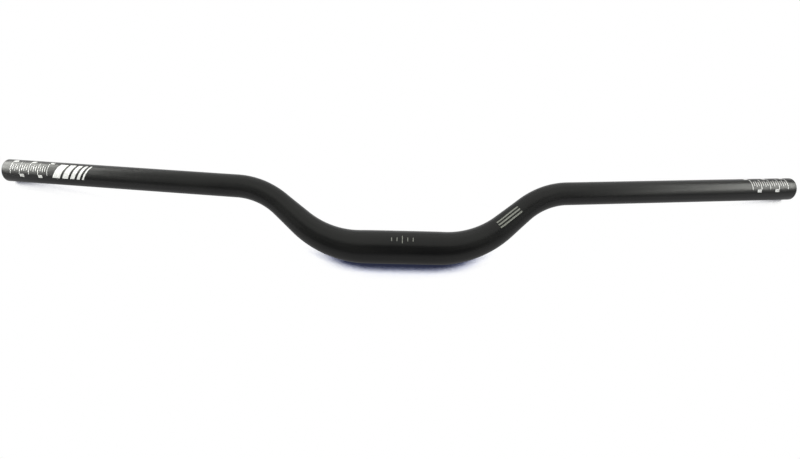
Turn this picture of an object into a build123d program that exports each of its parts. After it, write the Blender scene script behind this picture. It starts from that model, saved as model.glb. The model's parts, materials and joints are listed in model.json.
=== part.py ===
from build123d import *
import os
from math import acos, atan2, cos, degrees, hypot, radians, sin, tan

# A riser handlebar for a bicycle: one aluminium tube, butted, swaged thinner towards the grips,
# bent twice on each side and open at both ends.
# Millimetres, +Z up. The bar lies as it rests on a table, on its clamp barrel and its two end rims.
# The origin is the middle of the clamp barrel. +X runs along the barrel to the rider's right hand,
# and +Y runs over the table from the barrel to the grips.

# Driving dimensions
BAR_WIDTH = 800.0  # between the centres of the two ends
BAR_RISE = 73.0  # from the barrel's axis up to the centres of the ends, as fitted on a bicycle
BACKSWEEP = 8.0  # degrees that the grips point back, seen from above
UPSWEEP = 4.0  # degrees that the grips point up, seen from the front
RISE_SLOPE = 40.3  # degrees that the rise climbs between the two bends
LOWER_BEND_RADIUS = 92.0  # centreline, where the barrel turns into the rise
UPPER_BEND_RADIUS = 73.0  # centreline, where the rise turns into the grip
BARREL_LENGTH = 74.0  # straight stretch for the stem clamp, between the lower bends
BARREL_DIAMETER = 31.8
GRIP_DIAMETER = 22.2
BARREL_WALL = 2.3
GRIP_WALL = 1.9
RIM_CHAMFER = 0.5  # broken edges of the cut ends, outside and inside

# Corners of the right half's centreline, in the pose that the bar has on a bicycle
half_width = BAR_WIDTH / 2
climb = tan(radians(RISE_SLOPE))
upward = tan(radians(UPSWEEP))
backward = tan(radians(BACKSWEEP))
lower_corner_x = BARREL_LENGTH / 2 + LOWER_BEND_RADIUS * tan(radians(RISE_SLOPE / 2))
upper_corner_x = (BAR_RISE - half_width * upward + lower_corner_x * climb) / (climb - upward)
grip_reach = half_width - upper_corner_x
end_back = grip_reach * backward

middle = Vector(0, 0, 0)
lower_corner = Vector(lower_corner_x, 0, 0)
upper_corner = Vector(upper_corner_x, 0, (upper_corner_x - lower_corner_x) * climb)
end_centre = Vector(half_width, end_back, BAR_RISE)

centreline = FilletPolyline(
    middle, lower_corner, upper_corner, end_centre, radius=(LOWER_BEND_RADIUS, UPPER_BEND_RADIUS)
)
barrel_run, lower_bend, rise_run, upper_bend, grip_run = centreline.edges().sort_by(Axis.X)


def turn_axis(bend):
    """The line that a bend of the centreline turns about."""
    return Axis(bend.arc_center, (bend % 0).cross(bend % 1))


def disc(run, share, diameter, bend):
    """A round section across a run, at a share of its length, with its seam towards a bend's axis."""
    across = turn_axis(bend).direction
    return Plane(origin=run @ share, x_dir=across, z_dir=run % share) * Circle(diameter / 2)


def rod(barrel_diameter, grip_diameter):
    """The whole bar as a solid rod, swaged evenly from each lower bend to the top of its rise."""
    swaged_share = lower_bend.length / (lower_bend.length + rise_run.length)
    foot_diameter = barrel_diameter + (grip_diameter - barrel_diameter) * swaged_share
    barrel = extrude(disc(barrel_run, 0, barrel_diameter, lower_bend), barrel_run.length, both=True)
    swaged_bend = sweep(
        [
            disc(lower_bend, 0, barrel_diameter, lower_bend),
            disc(lower_bend, 1, foot_diameter, lower_bend),
        ],
        path=lower_bend,
        multisection=True,
    )
    rise = loft(
        [
            disc(rise_run, 0, foot_diameter, lower_bend),
            disc(rise_run, 1, grip_diameter, lower_bend),
        ]
    )
    shoulder = revolve(
        disc(upper_bend, 0, grip_diameter, upper_bend),
        axis=turn_axis(upper_bend),
        revolution_arc=degrees(upper_bend.length / UPPER_BEND_RADIUS),
    )
    grip = extrude(disc(grip_run, 0, grip_diameter, upper_bend), grip_run.length)
    right_arm = swaged_bend + rise + shoulder + grip
    return barrel + right_arm + mirror(right_arm, about=Plane.YZ)


def resting_roll():
    """Degrees about the barrel's axis that lay the bar on its barrel and its two end rims."""
    outward = (grip_run % 1).normalized()
    reach = hypot(end_back, BAR_RISE)
    lean = atan2(end_back, BAR_RISE)
    roll = lean - acos((GRIP_DIAMETER - BARREL_DIAMETER) / 2 / reach)
    passes = 5  # enough for the roll to settle
    for _ in range(passes):
        dip = -(outward.Y * sin(roll) + outward.Z * cos(roll))
        rim_drop = GRIP_DIAMETER / 2 * (1 - dip**2) ** 0.5 - RIM_CHAMFER * dip
        roll = lean - acos((rim_drop - BARREL_DIAMETER / 2) / reach)
    return degrees(roll)


def handlebar():
    """The tube: the outer rod less the butted bore, with broken edges at its cut ends."""
    bore_at_barrel = BARREL_DIAMETER - 2 * BARREL_WALL
    bore_at_grip = GRIP_DIAMETER - 2 * GRIP_WALL
    tube = rod(BARREL_DIAMETER, GRIP_DIAMETER) - rod(bore_at_barrel, bore_at_grip)
    round_edges = tube.edges().filter_by(GeomType.CIRCLE)
    rims = [edge for edge in round_edges if abs(abs(edge.arc_center.X) - half_width) < RIM_CHAMFER]
    tube = chamfer(rims, RIM_CHAMFER)
    return Rot(X=resting_roll()) * tube


os.makedirs("parts", exist_ok=True)
bar = handlebar()
bar.label = "handlebar"
export_step(bar, "parts/handlebar.step")
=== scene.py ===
import json
from math import ceil, cos, hypot, pi, radians, sin, tan

import bmesh
import bpy
from mathutils import Matrix, Quaternion, Vector


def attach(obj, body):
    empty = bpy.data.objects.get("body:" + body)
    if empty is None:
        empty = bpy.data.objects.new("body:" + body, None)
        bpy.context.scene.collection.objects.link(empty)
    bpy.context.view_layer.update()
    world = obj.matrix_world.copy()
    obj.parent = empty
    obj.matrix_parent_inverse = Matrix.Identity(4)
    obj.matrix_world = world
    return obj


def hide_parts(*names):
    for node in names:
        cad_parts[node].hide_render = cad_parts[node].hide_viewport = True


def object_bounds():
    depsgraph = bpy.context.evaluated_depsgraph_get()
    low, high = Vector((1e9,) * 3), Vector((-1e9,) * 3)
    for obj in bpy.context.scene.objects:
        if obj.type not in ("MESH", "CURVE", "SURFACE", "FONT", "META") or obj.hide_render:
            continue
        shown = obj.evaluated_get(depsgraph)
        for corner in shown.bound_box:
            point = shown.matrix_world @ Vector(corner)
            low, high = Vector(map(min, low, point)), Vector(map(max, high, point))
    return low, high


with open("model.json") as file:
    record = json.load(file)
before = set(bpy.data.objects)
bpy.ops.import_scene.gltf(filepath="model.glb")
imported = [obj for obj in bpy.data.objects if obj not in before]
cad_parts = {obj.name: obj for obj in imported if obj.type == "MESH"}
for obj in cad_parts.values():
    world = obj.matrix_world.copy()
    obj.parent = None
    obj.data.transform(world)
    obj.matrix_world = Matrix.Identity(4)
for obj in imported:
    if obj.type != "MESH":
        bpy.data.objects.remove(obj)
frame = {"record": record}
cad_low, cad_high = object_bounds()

# A riser handlebar that lies on a white table: one satin black aluminium tube, with white trim scales
# at its ends and plain printed stripes. Metres, in the frame's own axes: +X runs to the rider's right
# hand, +Y over the table from the clamp barrel to the grips, and +Z up.
MM = 0.001
UP = Vector((0, 0, 1))

# Sizes of the tube that the frame's mounts state
mounts = {mount["name"]: mount for mount in frame["record"]["mounts"]}
barrel_radius = mounts["stem_clamp"]["dims"]["r_mm"] * MM
barrel_half = mounts["stem_clamp"]["dims"]["length_mm"] / 2 * MM
grip_radius = mounts["right_grip"]["dims"]["r_mm"] * MM
grip_length = mounts["right_grip"]["dims"]["length_mm"] * MM
grip_middle = Vector(mounts["right_grip"]["pos_m"])
grip_heading = Vector(mounts["right_grip"]["axis"]).normalized()
end_bore_radius = mounts["right_end_bore"]["dims"]["r_mm"] * MM

# Sizes of the tube that only its maker's drawing states, the round of its rims and the ease of its swage
LOWER_BEND_RADIUS = 92.0 * MM
UPPER_BEND_RADIUS = 73.0 * MM
BARREL_WALL = 2.3 * MM
RIM_ROUND = 0.5 * MM
SWAGE_EASE = 4.0 * MM

# Fineness of the tube's mesh, and passes in which the rise's heading settles
AROUND = 96
RUN_STEP = 7.0 * MM
BEND_STEP = 1.6 * MM
RIM_STEPS = 6
HEADING_PASSES = 12

# Sides of the bar, and the turn round the tube at which its top is
LEFT = -1
RIGHT = 1
TOP_TURN = 0.0

# Trim scales: ticks at every 2.5 mm from an end, and a label with a number at every 10 mm. The border is
# in the numbers' own units, in which a line of them is 1 high
TICK_PITCH = 2.5 * MM
TICKS_PER_NUMBER = 4
TRIM_NUMBERS = (780, 760, 740, 720, 700)
TICK_WIDTH = 0.52 * MM
SHORT_TICK = 5.2 * MM
MIDDLE_TICK = 7.0 * MM
LONG_TICK = 13.0 * MM
LABEL_HEIGHT = 2.8 * MM
LABEL_LENGTH = 4.3 * MM
LABEL_GAP = 0.3 * MM
LABEL_BORDER = 0.19
SCALE_TURN = {LEFT: radians(15), RIGHT: TOP_TURN}

# Plain stripes and marks
ARM_STRIPE_WIDTHS = (8.0 * MM, 6.0 * MM, 4.4 * MM, 3.0 * MM, 1.8 * MM)
ARM_STRIPE_GAP = 2.6 * MM
ARM_STRIPE_START = 59.0 * MM
ARM_STRIPE_REACH = 15.0 * MM
ARM_STRIPE_TURN = radians(19)
STRIPE_SLANT = tan(radians(24))
CENTRE_MARK_WIDTH = 0.7 * MM
CENTRE_MARK_PITCH = 5.0 * MM
CENTRE_MARK_LENGTHS = (4.0 * MM, 4.0 * MM, 8.0 * MM, 4.0 * MM, 4.0 * MM)
RISE_STRIPE_SPAN = (97.0 * MM, 123.0 * MM)
RISE_STRIPE_WIDTH = 1.5 * MM
RISE_STRIPE_PITCH = 3.2 * MM
RISE_STRIPES = 3

# Ink stands a little proud of the tube, is rooted a little below its skin and is cut fine to wrap round it
INK_LIFT = 0.04 * MM
INK_ROOT = 0.05 * MM
INK_STEP = 0.6 * MM
CUT_TOLERANCE = 0.0001 * MM
WELD_REACH = 0.002 * MM

# Satin black: its colours, the sums of clouds and streaks at which they are reached, and the count to a
# metre and the strength of its streaks, clouds and grains
BLACK_DEEP = (0.0032, 0.0032, 0.0034, 1)
BLACK_PALE = (0.0078, 0.0078, 0.0074, 1)
BLACK_SPREAD = (0.6, 1.4)
BLACK_SHINE = 0.2
STREAKS = (7, 260, 260)
CLOUDS = 22.0
GRAINS = 1500.0
GRAIN_STRENGTH = 0.3
GRAIN_DEPTH = 0.05 * MM
SATIN_ROUGHNESS = 0.25
ROUGHNESS_SPREAD = 0.07

# Inks: their colours where full and where thin, and the count to a metre of thin spots and film grains
WHITE_INK = {"full": (0.86, 0.86, 0.85, 1), "thin": (0.78, 0.78, 0.77, 1), "roughness": 0.42}
GREY_INK = {"full": (0.2, 0.205, 0.18, 1), "thin": (0.15, 0.155, 0.135, 1), "roughness": 0.3}
INK_SHINE = 0.4
THIN_SPOTS = 900.0
THIN_SPREAD = (0.45, 0.8)
FILM_GRAINS = 2600.0
FILM_STRENGTH = 0.1
FILM_DEPTH = 0.02 * MM
FILM_ROUGHNESS = 0.1

# Camera
CAMERA_PLACE = Vector((-10.42, -271.44, 502.66)) * MM
CAMERA_AIM = Vector((-2.09, 19.67, 0.0)) * MM
CAMERA_ROLL = radians(2.734)
CAMERA_LENS = 27.0
SENSOR_WIDTH = 36.0
NEAREST_SIGHT = 10.0 * MM

# Table top, and the bar's shadow painted into its colour. An occlusion test leans back over the bar as
# though the light fell from behind, and the shares of it that come past the bar run from full painted shade
# to none.
# Painted light is added under the ends, most of all at the right, and the painted shade is greyer there.
TABLE_RADIUS = 2.4
TABLE_SIDES = 128
TABLE_WHITE = (1.0, 1.0, 1.0, 1)
TABLE_MATT = (0.5, 0.5, 0.5, 1)
SHADE_DEEP = (0.022, 0.026, 0.05, 1)
SHADE_BLUE = (0.0, 0.14, 0.95, 1)
SHADE_GREY = (0.15, 0.15, 0.19, 1)
SHADE_LEAN = radians(35)
SHADE_REACH = 120.0 * MM
SHADE_SAMPLES = 16
SHADE_SHARES = (0.29, 0.43)
END_SHIFT = 20.0 * MM
END_PAINTED_LIGHT = 0.82
END_GREY = 6.0

# Lamps, what they point at, how far the softboxes lean up from the table, and the room round them
LAMP_COLOUR = (0.99, 1.0, 0.95)
BAR_MIDDLE = (0, 0.06, 0)
LEFT_ARM = (-0.25, 0.05, 0)
RIGHT_ARM = (0.25, 0.05, 0)
LEFT_END = (-0.4, 0.09, 0)
SPOT_GRID = radians(17)
LOW_LEAN = radians(25)
HIGH_LEAN = radians(28)
ROOM_WHITE = (1.0, 1.0, 1.0, 1)
ROOM_DIM = (0.022, 0.025, 0.04, 1)
ROOM_HORIZON = (0.08, 0.25)


class Run:
    """A straight stretch of the tube's middle line."""

    def __init__(self, start, heading, length):
        self.start = start
        self.heading = heading
        self.length = length
        self.step = RUN_STEP

    def at(self, distance):
        """Place and heading at a distance from the start."""
        return self.start + self.heading * distance, self.heading


class Bend:
    """A round stretch of the tube's middle line, from one heading to the next."""

    def __init__(self, start, heading, onward, radius):
        self.start = start
        self.heading = heading
        self.radius = radius
        self.inward = (onward - heading * heading.dot(onward)).normalized()
        self.length = radius * heading.angle(onward)
        self.step = BEND_STEP

    def at(self, distance):
        """Place and heading at a distance from the start."""
        turn = distance / self.radius
        place = self.start + self.radius * (self.heading * sin(turn) + self.inward * (1 - cos(turn)))
        return place, self.heading * cos(turn) + self.inward * sin(turn)


def right_half():
    """The stretches of the right half, from the middle of the barrel to the cut end."""
    across = Vector((1, 0, 0))
    barrel_end = across * barrel_half
    grip_start = grip_middle - grip_heading * grip_length / 2
    rise_heading = (grip_start - barrel_end).normalized()
    for _ in range(HEADING_PASSES):
        lower_tangent = LOWER_BEND_RADIUS * tan(across.angle(rise_heading) / 2)
        upper_tangent = UPPER_BEND_RADIUS * tan(rise_heading.angle(grip_heading) / 2)
        lower_corner = barrel_end + across * lower_tangent
        upper_corner = grip_start - grip_heading * upper_tangent
        rise_heading = (upper_corner - lower_corner).normalized()
    rise_start = lower_corner + rise_heading * lower_tangent
    rise_end = upper_corner - rise_heading * upper_tangent
    return [
        Run(Vector((0, 0, 0)), across, barrel_half),
        Bend(barrel_end, across, rise_heading, LOWER_BEND_RADIUS),
        Run(rise_start, rise_heading, (rise_end - rise_start).length),
        Bend(rise_end, rise_heading, grip_heading, UPPER_BEND_RADIUS),
        Run(grip_start, grip_heading, grip_length + RIM_ROUND),
    ]


stretches = right_half()
half_length = sum(stretch.length for stretch in stretches)
swage_start = barrel_half
swage_end = barrel_half + stretches[1].length + stretches[2].length


def middle_line(station):
    """Place and heading of the middle line at a station of the right half."""
    left_over = station
    for stretch in stretches[:-1]:
        if left_over <= stretch.length:
            return stretch.at(left_over)
        left_over -= stretch.length
    return stretches[-1].at(left_over)


def swaged(station, barrel_size, grip_size):
    """A radius that runs evenly from the barrel's to the grip's, eased at both ends of the swage."""

    def past(mark):
        """How far the station lies past a mark, and nearly none before it."""
        return (abs(station) - mark + hypot(abs(station) - mark, SWAGE_EASE)) / 2

    slope = (grip_size - barrel_size) / (swage_end - swage_start)
    return barrel_size + slope * (past(swage_start) - past(swage_end))


def skin_radius(station):
    """Radius of the tube's outside."""
    return swaged(station, barrel_radius, grip_radius)


def bore_radius(station):
    """Radius of the tube's inside."""
    return swaged(station, barrel_radius - BARREL_WALL, end_bore_radius)


def on_tube(station, turn, radius):
    """A point at a station, which is negative on the left, and turned from the top towards the front."""
    middle, heading = middle_line(abs(station))
    top = (UP - heading * heading.z).normalized()
    front = heading.cross(top)
    point = middle + radius * (top * cos(turn) + front * sin(turn))
    return Vector((-point.x, point.y, point.z)) if station < 0 else point


def half_profile():
    """Stations and radii along the skin to the right end, round its rim and back through the bore."""
    stations = [0.0]
    for stretch in stretches:
        start = stations[-1]
        length = stretch.length - (RIM_ROUND if stretch is stretches[-1] else 0)
        steps = ceil(length / stretch.step)
        stations += [start + length * step / steps for step in range(1, steps + 1)]
    skin = [(station, skin_radius(station)) for station in stations]
    bore = [(station, bore_radius(station)) for station in reversed(stations)]
    quarter = [pi / 2 * step / RIM_STEPS for step in range(1, RIM_STEPS + 1)]
    outer_round = [
        (skin[-1][0] + RIM_ROUND * sin(turn), skin[-1][1] - RIM_ROUND * (1 - cos(turn))) for turn in quarter
    ]
    inner_round = [
        (bore[0][0] + RIM_ROUND * sin(turn), bore[0][1] + RIM_ROUND * (1 - cos(turn))) for turn in quarter
    ]
    return skin + outer_round + inner_round[::-1] + bore


def new_piece(name, mesh, slot):
    """An object with that mesh that moves with the bar, in the finish of a slot."""
    mesh.materials.append(finishes[slot])
    piece = bpy.data.objects.new(name, mesh)
    bpy.context.scene.collection.objects.link(piece)
    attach(piece, "root")
    return piece


def make_tube():
    """The bar itself: one closed skin, out along the tube, round each rim and back through the bore."""
    right = half_profile()
    left = [(-station, radius) for station, radius in reversed(right)][1:-1]
    profile = right + left
    turns = [2 * pi * step / AROUND for step in range(AROUND)]
    points = [on_tube(station, turn, radius) for station, radius in profile for turn in turns]
    faces = []
    for ring in range(len(profile)):
        here = ring * AROUND
        there = (ring + 1) % len(profile) * AROUND
        for step in range(AROUND):
            beside = (step + 1) % AROUND
            faces.append((here + step, here + beside, there + beside, there + step))
    mesh = bpy.data.meshes.new("handlebar_tube")
    mesh.from_pydata(points, [], faces)
    mesh.polygons.foreach_set("use_smooth", [True] * len(faces))
    straightened = mesh.attributes.new("straightened", "FLOAT_VECTOR", "POINT")
    for (station, radius), ring in zip(profile, range(0, len(points), AROUND)):
        for step, turn in enumerate(turns):
            straightened.data[ring + step].vector = (station, radius * cos(turn), radius * sin(turn))
    tube = new_piece("handlebar_tube", mesh, "satin_black")
    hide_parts("handlebar")


def slab(ink, start, length, low, high):
    """A flat block of ink: along the tube from start, and across it from low to high."""
    size = Vector((length, high - low, INK_LIFT + INK_ROOT))
    middle = Vector((start + length / 2, (low + high) / 2, (INK_LIFT - INK_ROOT) / 2))
    bmesh.ops.create_cube(ink, size=1, matrix=Matrix.LocRotScale(middle, None, size))


def open_number(block, value):
    """Adds a number's outlines to a filled curve, and gives the corners of their box."""
    writing = bpy.data.curves.new("number", "FONT")
    writing.body = str(value)
    carrier = bpy.data.objects.new("number", writing)
    bpy.context.scene.collection.objects.link(carrier)
    now = bpy.context.evaluated_depsgraph_get()
    corners = []
    for outline in carrier.evaluated_get(now).to_curve(now).splines:
        opening = block.splines.new("BEZIER")
        opening.use_cyclic_u = True
        opening.bezier_points.add(len(outline.bezier_points) - 1)
        for point, source in zip(opening.bezier_points, outline.bezier_points):
            point.co = source.co
            point.handle_left = source.handle_left
            point.handle_right = source.handle_right
            corners.append(source.co.copy())
    bpy.data.objects.remove(carrier)
    bpy.data.curves.remove(writing)
    low = [min(corner[axis] for corner in corners) for axis in (0, 1)]
    high = [max(corner[axis] for corner in corners) for axis in (0, 1)]
    return low, high


def label(ink, value, start, middle):
    """A flat block of ink round an open number, along the tube from start and across it round middle."""
    block = bpy.data.curves.new("label", "CURVE")
    block.dimensions = "2D"
    block.fill_mode = "BOTH"
    block.extrude = (INK_LIFT + INK_ROOT) / 2
    low, high = open_number(block, value)
    left, right = low[0] - LABEL_BORDER, high[0] + LABEL_BORDER
    bottom, top = low[1] - LABEL_BORDER, high[1] + LABEL_BORDER
    edge = block.splines.new("POLY")
    edge.use_cyclic_u = True
    corners = ((left, bottom), (right, bottom), (right, top), (left, top))
    edge.points.add(len(corners) - 1)
    for point, corner in zip(edge.points, corners):
        point.co = (*corner, 0, 1)
    carrier = bpy.data.objects.new("label", block)
    mesh = bpy.data.meshes.new_from_object(carrier)
    for vertex in mesh.vertices:
        vertex.co.x = start + LABEL_LENGTH * (vertex.co.x - left) / (right - left)
        vertex.co.y = middle + LABEL_HEIGHT * (vertex.co.y - (bottom + top) / 2) / (top - bottom)
        vertex.co.z += (INK_LIFT - INK_ROOT) / 2
    ink.from_mesh(mesh)
    bpy.data.objects.remove(carrier)
    bpy.data.curves.remove(block)
    bpy.data.meshes.remove(mesh)


def wrap(ink, turn):
    """Lays flat ink round the tube: x is the station, y runs back from the given turn and z is the lift."""
    # Faces and walls that meet are joined before the cuts, and points that cuts leave together after them
    bmesh.ops.remove_doubles(ink, verts=ink.verts, dist=WELD_REACH)
    for axis in (0, 1):
        low = min(vertex.co[axis] for vertex in ink.verts)
        high = max(vertex.co[axis] for vertex in ink.verts)
        cut_normal = Vector((axis == 0, axis == 1, 0))
        cuts = ceil((high - low) / INK_STEP)
        for cut in range(1, cuts):
            parts = ink.verts[:] + ink.edges[:] + ink.faces[:]
            place = cut_normal * (low + (high - low) * cut / cuts)
            bmesh.ops.bisect_plane(ink, geom=parts, plane_co=place, plane_no=cut_normal, dist=CUT_TOLERANCE)
    bmesh.ops.remove_doubles(ink, verts=ink.verts, dist=WELD_REACH)
    for vertex in ink.verts:
        station, back, lift = vertex.co
        radius = skin_radius(station)
        vertex.co = on_tube(station, turn - back / radius, radius + lift)


def print_on(name, ink, turn, slot):
    """A printed piece on the bar from flat ink."""
    wrap(ink, turn)
    bmesh.ops.recalc_face_normals(ink, faces=ink.faces)
    mesh = bpy.data.meshes.new(name)
    ink.to_mesh(mesh)
    ink.free()
    new_piece(name, mesh, slot)


def trim_scale(name, side):
    """Ticks and numbers that show where to cut the bar to a width."""
    ink = bmesh.new()
    for tick in range(TICKS_PER_NUMBER, TICKS_PER_NUMBER * len(TRIM_NUMBERS) + 1):
        station = side * (half_length - tick * TICK_PITCH)
        start = station - TICK_WIDTH / 2
        if tick % TICKS_PER_NUMBER:
            reach = MIDDLE_TICK if tick % TICKS_PER_NUMBER == TICKS_PER_NUMBER / 2 else SHORT_TICK
            slab(ink, start, TICK_WIDTH, -reach / 2, reach / 2)
            continue
        slab(ink, start, TICK_WIDTH, -LONG_TICK / 2, LONG_TICK / 2)
        count = tick // TICKS_PER_NUMBER
        above = 1 if count % 2 else -1
        middle = above * (LONG_TICK + LABEL_HEIGHT) / 2
        inboard = LABEL_GAP if side == LEFT else -LABEL_GAP - LABEL_LENGTH
        label(ink, TRIM_NUMBERS[count - 1], station + inboard, middle)
    print_on(name, ink, SCALE_TURN[side], "white_print")


def arm_stripes():
    """Slanted stripes on the left arm that get narrower towards the rise."""
    ink = bmesh.new()
    start = ARM_STRIPE_START - half_length
    for width in ARM_STRIPE_WIDTHS:
        slab(ink, start, width, -ARM_STRIPE_REACH / 2, ARM_STRIPE_REACH / 2)
        start += width + ARM_STRIPE_GAP
    for vertex in ink.verts:
        vertex.co.x += vertex.co.y * STRIPE_SLANT
    print_on("left_arm_stripes", ink, ARM_STRIPE_TURN, "white_print")


def centre_marks():
    """Marks on the barrel that line the bar up in its clamp."""
    ink = bmesh.new()
    first = -CENTRE_MARK_PITCH * (len(CENTRE_MARK_LENGTHS) - 1) / 2
    for mark, length in enumerate(CENTRE_MARK_LENGTHS):
        start = first + mark * CENTRE_MARK_PITCH - CENTRE_MARK_WIDTH / 2
        slab(ink, start, CENTRE_MARK_WIDTH, -length / 2, length / 2)
    print_on("centre_marks", ink, TOP_TURN, "grey_print")


def rise_stripes():
    """Thin stripes that run along the top of the right rise."""
    ink = bmesh.new()
    start, end = RISE_STRIPE_SPAN
    for stripe in range(RISE_STRIPES):
        middle = (stripe - (RISE_STRIPES - 1) / 2) * RISE_STRIPE_PITCH
        slab(ink, start, end - start, middle - RISE_STRIPE_WIDTH / 2, middle + RISE_STRIPE_WIDTH / 2)
    print_on("right_rise_stripes", ink, TOP_TURN, "grey_print")


class Value:
    """A socket that takes part in Python sums: each operator adds a Math node."""

    def __init__(self, shader, socket):
        self.shader = shader
        self.socket = socket

    def math(self, operation, first, second):
        """Adds a Math node."""
        return self.shader.node("ShaderNodeMath", {"operation": operation}, {0: first, 1: second})

    def __add__(self, other):
        return self.math("ADD", self, other)

    def __sub__(self, other):
        return self.math("SUBTRACT", self, other)

    def __rsub__(self, other):
        return self.math("SUBTRACT", other, self)

    def __mul__(self, other):
        return self.math("MULTIPLY", self, other)

    __radd__ = __add__
    __rmul__ = __mul__


class Shader:
    """The nodes of one finish, or of the world."""

    def __init__(self, owner):
        owner.use_nodes = True
        self.tree = owner.node_tree
        self.tree.nodes.clear()

    def node(self, kind, settings=None, sockets=None, output=0):
        """Adds a node, sets it up, fills its sockets and gives one of its outputs."""
        node = self.tree.nodes.new(kind)
        for name, setting in (settings or {}).items():
            setattr(node, name, setting)
        for name, filling in (sockets or {}).items():
            if isinstance(filling, Value):
                self.tree.links.new(filling.socket, node.inputs[name])
            else:
                node.inputs[name].default_value = filling
        return Value(self, node.outputs[output]) if node.outputs else node

    def rays_seen(self):
        """Whether a ray meets the eye straight, in gloss or through glass."""
        rays = ("Is Camera Ray", "Is Glossy Ray", "Is Transmission Ray")
        return [self.node("ShaderNodeLightPath", output=ray) for ray in rays]

    def mix(self, share, first, second):
        """A colour between two colours, whose sockets share their names with others and go by number."""
        sockets = {"Factor": share, 6: first, 7: second}
        return self.node("ShaderNodeMix", {"data_type": "RGBA"}, sockets, output=2)

    def between(self, value, low, high):
        """How far a value is from low to high, from 0 to 1, with a smooth start and end."""
        sockets = {"Value": value, "From Min": low, "From Max": high}
        return self.node("ShaderNodeMapRange", {"interpolation_type": "SMOOTHSTEP"}, sockets)

    def noise(self, place, scale=1.0):
        """Soft spots, from 0 to 1."""
        return self.node("ShaderNodeTexNoise", sockets={"Vector": place, "Scale": scale})

    def stretched(self, place, scales):
        """A place scaled by a number for each axis."""
        sockets = {0: place, 1: scales}
        return self.node("ShaderNodeVectorMath", {"operation": "MULTIPLY"}, sockets)

    def bump(self, height, strength, distance):
        """A normal that follows small heights."""
        sockets = {"Height": height, "Strength": strength, "Distance": distance}
        return self.node("ShaderNodeBump", sockets=sockets)


def new_finish(name):
    """An empty material and its shader."""
    material = bpy.data.materials.new(name)
    return material, Shader(material)


def satin_black():
    """Blasted and anodised aluminium: near black, with a fine grain and faint streaks along the tube."""
    material, shader = new_finish("satin_black")
    tube = shader.node("ShaderNodeAttribute", {"attribute_name": "straightened"}, output="Vector")
    streaks = shader.noise(shader.stretched(tube, STREAKS))
    clouds = shader.noise(tube, CLOUDS)
    grain = shader.noise(tube, GRAINS)
    shade = shader.between(clouds + streaks, *BLACK_SPREAD)
    sockets = {
        "Base Color": shader.mix(shade, BLACK_DEEP, BLACK_PALE),
        "Roughness": SATIN_ROUGHNESS + (clouds + streaks + grain) * ROUGHNESS_SPREAD,
        "Specular IOR Level": BLACK_SHINE,
        "Normal": shader.bump(grain, GRAIN_STRENGTH, GRAIN_DEPTH),
    }
    skin = shader.node("ShaderNodeBsdfPrincipled", sockets=sockets)
    shader.node("ShaderNodeOutputMaterial", sockets={"Surface": skin})
    return material


def printed_ink(name, look):
    """Screen-printed ink that is a little thinner in places."""
    material, shader = new_finish(name)
    place = shader.node("ShaderNodeTexCoord", output="Object")
    thinning = shader.between(shader.noise(place, THIN_SPOTS), *THIN_SPREAD)
    film = shader.noise(place, FILM_GRAINS)
    sockets = {
        "Base Color": shader.mix(thinning, look["full"], look["thin"]),
        "Roughness": look["roughness"] + film * FILM_ROUGHNESS,
        "Specular IOR Level": INK_SHINE,
        "Normal": shader.bump(film, FILM_STRENGTH, FILM_DEPTH),
    }
    ink = shader.node("ShaderNodeBsdfPrincipled", sockets=sockets)
    shader.node("ShaderNodeOutputMaterial", sockets={"Surface": ink})
    return material


def table_white():
    """A white table top that glows, with the bar's shadow painted in where an occlusion test leaning back
    finds the bar in the way.
    """
    material, shader = new_finish("table_white")
    straight, gloss, glass = shader.rays_seen()
    place = shader.node("ShaderNodeTexCoord", output="Object")
    aside = shader.node("ShaderNodeSeparateXYZ", sockets={0: place}, output="X") + END_SHIFT
    ends = aside * aside
    # Painted shade: ambient occlusion leaned back over the bar stands in for the shadow of light from
    # behind
    lean = {"Y": sin(SHADE_LEAN), "Z": cos(SHADE_LEAN)}
    shade_test_heading = shader.node("ShaderNodeCombineXYZ", sockets=lean)
    sockets = {"Normal": shade_test_heading, "Distance": SHADE_REACH}
    painted_open_sky = shader.node("ShaderNodeAmbientOcclusion", {"samples": SHADE_SAMPLES}, sockets, "AO")
    # Painted light, added by the distance from the middle, so more of it lies under the ends
    painted_open_share = painted_open_sky + ends * END_PAINTED_LIGHT
    painted_lit = shader.between(painted_open_share, *SHADE_SHARES)
    shade = shader.mix(painted_lit, SHADE_DEEP, shader.mix(ends * END_GREY, SHADE_BLUE, SHADE_GREY))
    # The eye sees the tinted painted shade, and gloss sees the plain painted share of light as a grey
    colour = shader.mix(straight, painted_open_share, shader.mix(painted_lit, shade, TABLE_WHITE))
    painted_glow = shader.node("ShaderNodeEmission", sockets={"Color": colour})
    matt = shader.node("ShaderNodeBsdfDiffuse", sockets={"Color": TABLE_MATT})
    surface = shader.node("ShaderNodeMixShader", sockets={0: straight + gloss + glass, 1: matt, 2: painted_glow})
    shader.node("ShaderNodeOutputMaterial", sockets={"Surface": surface})
    material.cycles.emission_sampling = "NONE"
    return material


def table():
    """A round table top under the bar."""
    top = bmesh.new()
    bmesh.ops.create_circle(top, cap_ends=True, segments=TABLE_SIDES, radius=TABLE_RADIUS)
    bmesh.ops.translate(top, verts=top.verts, vec=UP * cad_low.z)
    mesh = bpy.data.meshes.new("table_top")
    top.to_mesh(mesh)
    top.free()
    mesh.materials.append(table_white())
    floor = bpy.data.objects.new("table_top", mesh)
    bpy.context.scene.collection.objects.link(floor)


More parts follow.
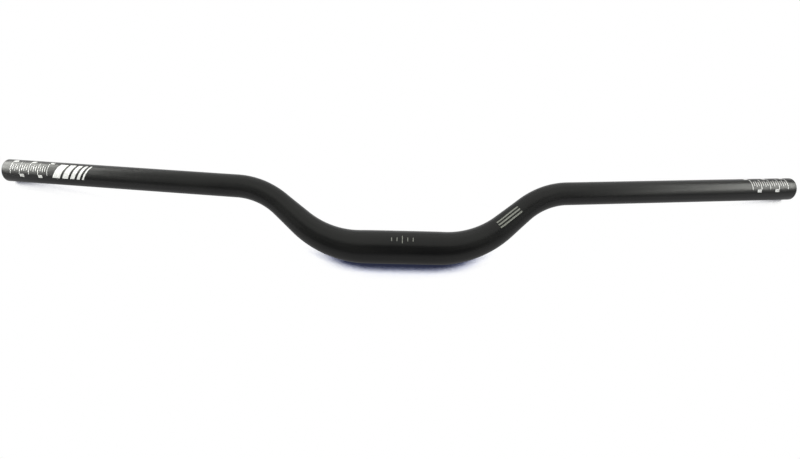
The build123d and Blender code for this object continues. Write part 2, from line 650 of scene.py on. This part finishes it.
def softbox(name, place, aim, size, radiance, shows="all", grid=pi / 2):
    """A flat soft lamp of a given radiance, which lights all, only shows in gloss or only lights matt. A
    grid keeps its light within an angle from straight ahead, and it then needs less energy."""
    lamp = bpy.data.lights.new(name, "AREA")
    lamp.shape = "RECTANGLE"
    lamp.size, lamp.size_y = size
    lamp.energy = radiance * pi * lamp.size * lamp.size_y * (1 - grid / tan(grid))
    lamp.spread = 2 * grid
    lamp.color = LAMP_COLOUR
    box = bpy.data.objects.new(name, lamp)
    box.location = place
    box.rotation_mode = "QUATERNION"
    box.rotation_quaternion = (Vector(aim) - Vector(place)).to_track_quat("-Z", "Y")
    box.visible_camera = False
    box.visible_diffuse = shows != "gloss"
    box.visible_glossy = shows != "matt"
    bpy.context.scene.collection.objects.link(box)


def leaning_softbox(name, side, lean, hinge, span, middle, width, radiance):
    """A softbox that leans up and out over one end of the bar, to show in that end's gloss alone: what
    lies inside its hinge line is behind it."""
    near, far = span
    run = (near + far) / 2
    place = (side * (hinge + run * cos(lean)), middle, run * sin(lean))
    foot = (side * (hinge + run / cos(lean)), middle, 0)
    softbox(name, place, foot, size=(width, far - near), radiance=radiance, shows="gloss")


def panels():
    """Wide soft panels behind, in front and at each side."""
    softbox("back_panel", (0, 0.86, 1.3), BAR_MIDDLE, size=(3.0, 3.0), radiance=1.6)
    softbox("front_panel", (0, -1.2, 1.2), BAR_MIDDLE, size=(2.4, 1.6), radiance=2.1, shows="matt")
    softbox("left_panel", (-1.7, -0.55, 1.3), LEFT_ARM, size=(1.4, 1.4), radiance=1.3, shows="gloss")
    softbox("right_panel", (1.6, -0.65, 1.3), RIGHT_ARM, size=(1.4, 1.4), radiance=1.25, shows="gloss")


def end_lamps():
    """Spots and leaning softboxes for the gloss of the bar's ends."""
    spot = {"aim": LEFT_END, "shows": "gloss", "grid": SPOT_GRID}
    softbox("left_spot", (-0.66, 0.12, 0.15), size=(0.3, 0.12), radiance=34.0, **spot)
    softbox("left_back_spot", (-0.58, 0.24, 0.09), size=(0.2, 0.14), radiance=17.0, **spot)
    leaning_softbox(
        "left_softbox", LEFT, LOW_LEAN,
        hinge=0.3, span=(0.1, 1.0), middle=0.4, width=1.0, radiance=9.5,
    )
    leaning_softbox(
        "left_high_softbox", LEFT, HIGH_LEAN,
        hinge=0.15, span=(0.3, 0.8), middle=0.34, width=0.6, radiance=7.5,
    )
    leaning_softbox(
        "right_softbox", RIGHT, HIGH_LEAN,
        hinge=0.0, span=(0.85, 1.6), middle=0.18, width=0.7, radiance=31.0,
    )
    leaning_softbox(
        "right_low_softbox", RIGHT, HIGH_LEAN,
        hinge=0.05, span=(0.35, 1.2), middle=-0.1, width=0.8, radiance=2.8,
    )


def room():
    """A dim bluish room that is white where it is seen and low down in gloss."""
    world = bpy.data.worlds.new("room")
    bpy.context.scene.world = world
    shader = Shader(world)
    direction = shader.node("ShaderNodeTexCoord", output="Generated")
    height = shader.node("ShaderNodeSeparateXYZ", sockets={0: direction}, output="Z")
    straight, gloss, glass = shader.rays_seen()
    pale = straight + glass + gloss * (1 - shader.between(height, *ROOM_HORIZON))
    walls = shader.node("ShaderNodeBackground", sockets={"Color": shader.mix(pale, ROOM_DIM, ROOM_WHITE)})
    shader.node("ShaderNodeOutputWorld", sockets={"Surface": walls})


def camera():
    """Looks down on the bar from the front, as the photograph does."""
    lens = bpy.data.cameras.new("camera")
    lens.sensor_width = SENSOR_WIDTH
    lens.lens = CAMERA_LENS
    lens.clip_start = NEAREST_SIGHT
    eye = bpy.data.objects.new("camera", lens)
    eye.location = CAMERA_PLACE
    eye.rotation_mode = "QUATERNION"
    sight = (CAMERA_AIM - CAMERA_PLACE).to_track_quat("-Z", "Y")
    eye.rotation_quaternion = sight @ Quaternion((0, 0, 1), CAMERA_ROLL)
    bpy.context.scene.collection.objects.link(eye)
    bpy.context.scene.camera = eye


finishes = {
    "satin_black": satin_black(),
    "white_print": printed_ink("white_print", WHITE_INK),
    "grey_print": printed_ink("grey_print", GREY_INK),
}
make_tube()
trim_scale("left_trim_scale", LEFT)
trim_scale("right_trim_scale", RIGHT)
arm_stripes()
centre_marks()
rise_stripes()
table()
panels()
end_lamps()
room()
camera()
bpy.context.scene.view_settings.view_transform = "Standard"
